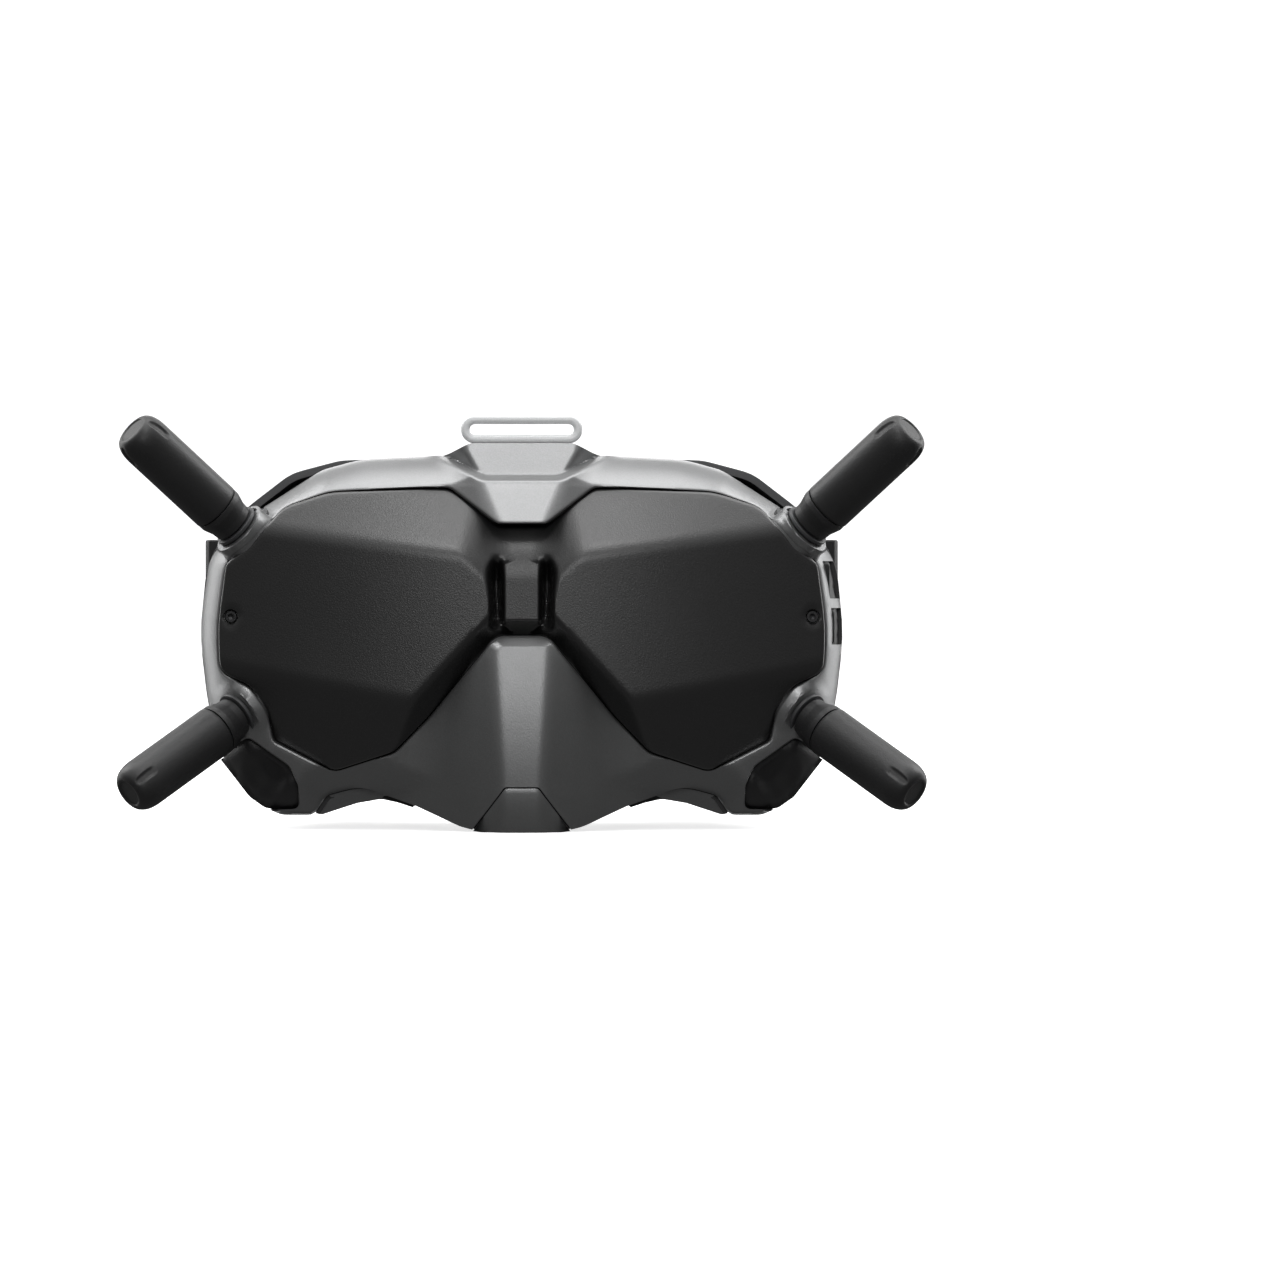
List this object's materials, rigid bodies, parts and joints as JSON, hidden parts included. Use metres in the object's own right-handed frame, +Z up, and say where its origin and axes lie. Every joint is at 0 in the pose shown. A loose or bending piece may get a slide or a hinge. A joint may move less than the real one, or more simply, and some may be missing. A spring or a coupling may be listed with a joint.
{
  "type": "fpv goggles",
  "caption": "Head-worn video goggles with a silver-grey front shell, black visor, screw-on stub antennas, a folding top strap loop and a rear face pad.",
  "frame": {"origin": "middle of the bounding box at the bottom of the nose", "axes": "+X to the wearer's left, -Y out of the visor, +Z up"},
  "size_m": [0.2258, 0.1242, 0.1178],
  "materials": {
    "silver_paint": "satin silver-grey paint on plastic",
    "visor_black": "fine matt grain",
    "dark_casing": "satin",
    "antenna_black": "fine texture",
    "loop_grey": "semi-gloss",
    "face_foam": "soft knit over foam",
    "lens_glass": "polished",
    "steel": "satin",
    "aluminium": "satin",
    "circuit_board": "solder mask",
    "black_plastic": "matt",
    "screen_glass": "polished"
  },
  "bodies": {
    "goggles": {"front_shell": "silver_paint", "visor": "visor_black", "nose_cover": "silver_paint", "rear_housing": "dark_casing", "lower_cover_left": "silver_paint", "lower_cover_right": "silver_paint", "corner_vent_left": "black_plastic", "corner_vent_right": "black_plastic", "face_plate": "black_plastic", "face_foam": "face_foam", "strap_anchor_left": "black_plastic", "strap_anchor_right": "black_plastic", "loop_cradle": "black_plastic", "main_board": "circuit_board", "heat_sink": "aluminium", "radio_shield": "steel", "fan_housing": "black_plastic", "optics_frame": "black_plastic", "guide_rod": "steel", "antenna_collar_upper_left": "dark_casing", "antenna_collar_upper_right": "dark_casing", "antenna_collar_lower_left": "dark_casing", "antenna_collar_lower_right": "dark_casing", "visor_screw_left": "steel", "visor_screw_right": "steel", "channel_display": "screen_glass", "power_port": "black_plastic", "usb_port": "black_plastic", "card_slot": "black_plastic", "audio_port": "black_plastic", "proximity_window": "screen_glass", "five_way_base": "black_plastic"},
    "antenna_upper_left": {"antenna_neck_upper_left": "antenna_black", "antenna_sleeve_upper_left": "antenna_black"},
    "antenna_upper_right": {"antenna_neck_upper_right": "antenna_black", "antenna_sleeve_upper_right": "antenna_black"},
    "antenna_lower_left": {"antenna_neck_lower_left": "antenna_black", "antenna_sleeve_lower_left": "antenna_black"},
    "antenna_lower_right": {"antenna_neck_lower_right": "antenna_black", "antenna_sleeve_lower_right": "antenna_black"},
    "strap_loop": {"top_strap_loop": "loop_grey"},
    "eye_carriage_left": {"lens_barrel_left": "black_plastic", "lens_left": "lens_glass", "display_panel_left": "screen_glass", "spacing_knob_left": "black_plastic"},
    "eye_carriage_right": {"lens_barrel_right": "black_plastic", "lens_right": "lens_glass", "display_panel_right": "screen_glass", "spacing_knob_right": "black_plastic"},
    "five_way_yoke_body": {"five_way_yoke": "steel"},
    "five_way_stem_body": {"five_way_stem": "steel"},
    "five_way_cap_body": {"five_way_cap": "black_plastic"},
    "record_button_body": {"record_button": "black_plastic"},
    "back_button_body": {"back_button": "black_plastic"},
    "link_button_body": {"link_button": "black_plastic"},
    "channel_up_button_body": {"channel_up_button": "black_plastic"},
    "channel_down_button_body": {"channel_down_button": "black_plastic"},
    "fan": {"fan_impeller": "black_plastic"}
  },
  "joints": [
    {"name": "antenna_upper_left_turn", "type": "hinge", "parent": "goggles", "child": "antenna_upper_left", "pos_m": [0.0808, -0.03791, 0.0861], "axis": [0.6688, -0.3907, 0.6325], "range_deg": [-180, 180]},
    {"name": "antenna_upper_right_turn", "type": "hinge", "parent": "goggles", "child": "antenna_upper_right", "pos_m": [-0.0808, -0.03791, 0.0861], "axis": [-0.6688, -0.3907, 0.6325], "range_deg": [-180, 180]},
    {"name": "antenna_lower_left_turn", "type": "hinge", "parent": "goggles", "child": "antenna_lower_left", "pos_m": [0.0806, -0.03591, 0.0324], "axis": [0.689, -0.515, -0.5099], "range_deg": [-180, 180]},
    {"name": "antenna_lower_right_turn", "type": "hinge", "parent": "goggles", "child": "antenna_lower_right", "pos_m": [-0.0806, -0.03591, 0.0324], "axis": [-0.689, -0.515, -0.5099], "range_deg": [-180, 180]},
    {"name": "top_loop_fold", "type": "hinge", "parent": "goggles", "child": "strap_loop", "pos_m": [0, -0.02331, 0.1111], "axis": [1, 0, 0], "range_deg": [-80, 80]},
    {"name": "eye_spacing_left", "type": "slide", "parent": "goggles", "child": "eye_carriage_left", "axis": [1, 0, 0], "range_m": [-0.003, 0.003]},
    {"name": "eye_spacing_right", "type": "slide", "parent": "goggles", "child": "eye_carriage_right", "axis": [-1, 0, 0], "range_m": [-0.003, 0.003]},
    {"name": "five_way_tilt_up_down", "type": "hinge", "parent": "goggles", "child": "five_way_yoke_body", "pos_m": [-0.027, -0.00291, 0.0985], "axis": [1, 0, 0], "range_deg": [-5, 5], "stiffness_Nm_per_rad": 0.01},
    {"name": "five_way_tilt_left_right", "type": "hinge", "parent": "five_way_yoke_body", "child": "five_way_stem_body", "pos_m": [-0.027, -0.00291, 0.0985], "axis": [0, 1, 0], "range_deg": [-5, 5], "stiffness_Nm_per_rad": 0.01},
    {"name": "five_way_press", "type": "slide", "parent": "five_way_stem_body", "child": "five_way_cap_body", "axis": [0, 0, -1], "range_m": [0, 0.0005], "stiffness_N_per_m": 300},
    {"name": "record_button_press", "type": "slide", "parent": "goggles", "child": "record_button_body", "axis": [0, 0, -1], "range_m": [0, 0.0008], "stiffness_N_per_m": 300},
    {"name": "back_button_press", "type": "slide", "parent": "goggles", "child": "back_button_body", "axis": [0, 0, -1], "range_m": [0, 0.0008], "stiffness_N_per_m": 300},
    {"name": "link_button_press", "type": "slide", "parent": "goggles", "child": "link_button_body", "axis": [1, 0, 0], "range_m": [0, 0.0006], "stiffness_N_per_m": 300},
    {"name": "channel_up_button_press", "type": "slide", "parent": "goggles", "child": "channel_up_button_body", "axis": [-1, 0, 0], "range_m": [0, 0.0008], "stiffness_N_per_m": 300},
    {"name": "channel_down_button_press", "type": "slide", "parent": "goggles", "child": "channel_down_button_body", "axis": [-1, 0, 0], "range_m": [0, 0.0008], "stiffness_N_per_m": 300},
    {"name": "fan_spin", "type": "hinge", "parent": "goggles", "child": "fan", "pos_m": [0, -0.02251, 0.078], "axis": [0, 1, 0], "continuous": true}
  ]
}
